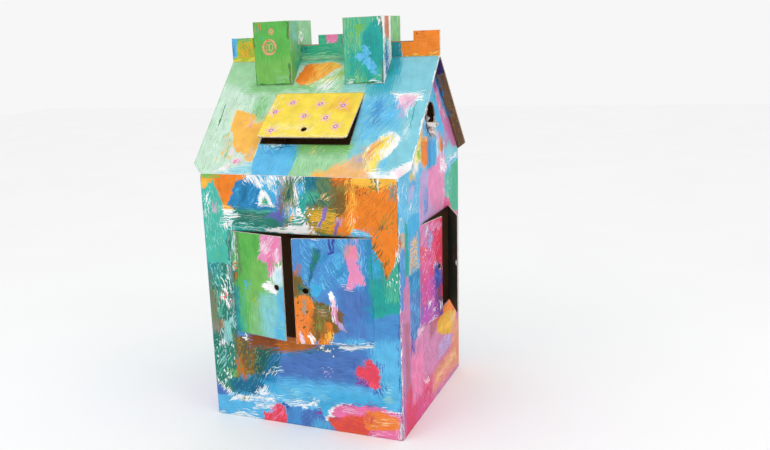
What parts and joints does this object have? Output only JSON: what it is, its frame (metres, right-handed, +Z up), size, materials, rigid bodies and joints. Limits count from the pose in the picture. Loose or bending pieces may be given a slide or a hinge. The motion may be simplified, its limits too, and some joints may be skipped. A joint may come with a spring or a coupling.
{
  "type": "cardboard playhouse",
  "caption": "Hand-painted folded cardboard playhouse with shuttered windows, a skylight flap, a crenellated ridge and chimneys slotted over it.",
  "frame": {"origin": "middle of the whole house's box, at floor level", "axes": "+Z up; the front wall with the large window faces -Y; +X runs along the front wall to its right"},
  "size_m": [0.8154, 0.791, 1.3484],
  "materials": {
    "house_board": "matte poster paint daubed over white corrugated cardboard",
    "left_chimney_board": "matte poster paint over white corrugated cardboard",
    "right_chimney_board": "matte poster paint over white corrugated cardboard"
  },
  "bodies": {
    "root": {"house_sheet": "house_board", "left_chimney": "left_chimney_board", "right_chimney": "right_chimney_board"}
  },
  "joints": []
}
